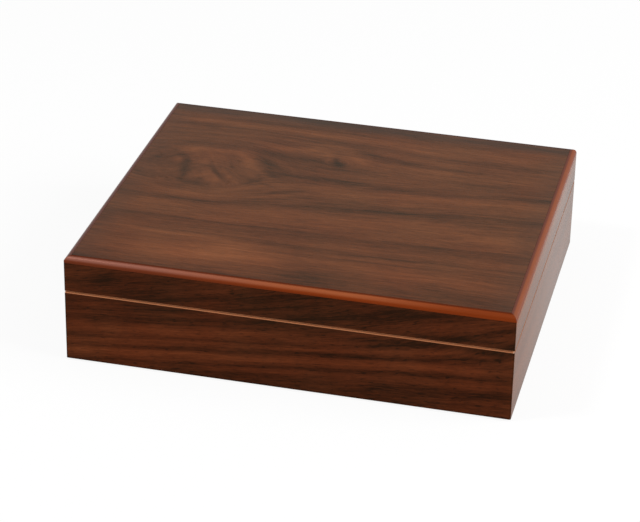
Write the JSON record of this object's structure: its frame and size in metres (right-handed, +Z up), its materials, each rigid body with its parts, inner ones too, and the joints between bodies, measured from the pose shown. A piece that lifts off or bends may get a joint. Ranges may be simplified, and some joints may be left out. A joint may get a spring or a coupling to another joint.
{
  "type": "hinged wooden box",
  "caption": "Low rectangular walnut-veneered wooden box with a hinged lid, a rounded cherry edging round its top, a cedar-lined compartment and brass stop hinges.",
  "frame": {"origin": "centre of the resting face, the underside of the felt", "axes": "+X to the box's right seen from the front, -Y to the front, +Z up; the hinges are at +Y"},
  "size_m": [0.26, 0.2254, 0.0668],
  "materials": {
    "walnut": "satin lacquered walnut veneer",
    "cherry": "satin lacquered, cherry stained solid wood",
    "core": "pale solid wood, sanded and raw",
    "cedar": "raw cedar",
    "felt": "dark felt",
    "brass": "satin brass"
  },
  "bodies": {
    "base": {"base_front_wall": "core", "base_right_wall": "core", "base_back_wall": "core", "base_left_wall": "core", "base_front_veneer": "walnut", "base_right_veneer": "walnut", "base_back_veneer": "walnut", "base_left_veneer": "walnut", "base_front_lining": "cedar", "base_right_lining": "cedar", "base_back_lining": "cedar", "base_left_lining": "cedar", "bottom_panel": "core", "floor_lining": "cedar", "felt_base": "felt", "hinge_left_base_leaf": "brass", "hinge_right_base_leaf": "brass", "hinge_left_pin": "brass", "hinge_right_pin": "brass", "hinge_left_base_screw_1": "brass", "hinge_left_base_screw_2": "brass", "hinge_right_base_screw_1": "brass", "hinge_right_base_screw_2": "brass"},
    "lid": {"lid_front_wall": "core", "lid_right_wall": "core", "lid_back_wall": "core", "lid_left_wall": "core", "lid_front_veneer": "walnut", "lid_right_veneer": "walnut", "lid_back_veneer": "walnut", "lid_left_veneer": "walnut", "lid_front_lining": "cedar", "lid_right_lining": "cedar", "lid_back_lining": "cedar", "lid_left_lining": "cedar", "lid_front_edging": "cherry", "lid_right_edging": "cherry", "lid_back_edging": "cherry", "lid_left_edging": "cherry", "lid_panel": "core", "top_veneer": "walnut", "ceiling_lining": "cedar", "hinge_left_lid_leaf": "brass", "hinge_right_lid_leaf": "brass", "hinge_left_lid_screw_1": "brass", "hinge_left_lid_screw_2": "brass", "hinge_right_lid_screw_1": "brass", "hinge_right_lid_screw_2": "brass"}
  },
  "joints": [
    {"name": "lid_hinge", "type": "hinge", "parent": "base", "child": "lid", "pos_m": [0, 0.1115, 0.0445], "axis": [-1, 0, 0], "range_deg": [0, 95]}
  ]
}
